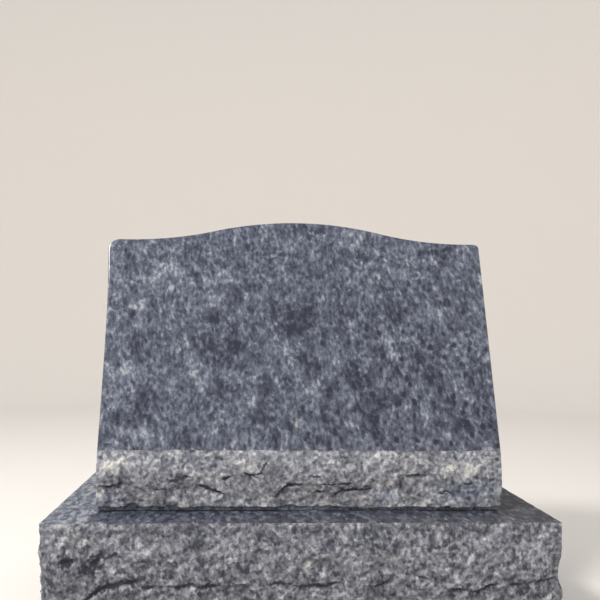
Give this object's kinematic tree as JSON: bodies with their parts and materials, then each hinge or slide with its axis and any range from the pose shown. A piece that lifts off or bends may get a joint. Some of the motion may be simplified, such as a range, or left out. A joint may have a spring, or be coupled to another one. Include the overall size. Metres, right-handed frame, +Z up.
{
  "type": "slant grave marker",
  "caption": "Slant-face granite grave marker: a wedge-shaped tablet with a polished blank face, serpentine top and rock-pitched nose, on a rock-pitched base with a polished top.",
  "frame": {"origin": "on the ground, under the middle of the base", "axes": "+Z up; the polished leaning face looks towards -Y; X runs along the stone's width"},
  "size_m": [0.7589, 0.3997, 0.6053],
  "materials": {
    "granite_polished": "polished blue-grey granite with darker and lighter grains drawn out upright",
    "granite_pitched": "the same granite broken back with a chisel, matt and paler grey"
  },
  "bodies": {
    "root": {"tablet": "granite_polished", "base": "granite_pitched"}
  },
  "joints": []
}
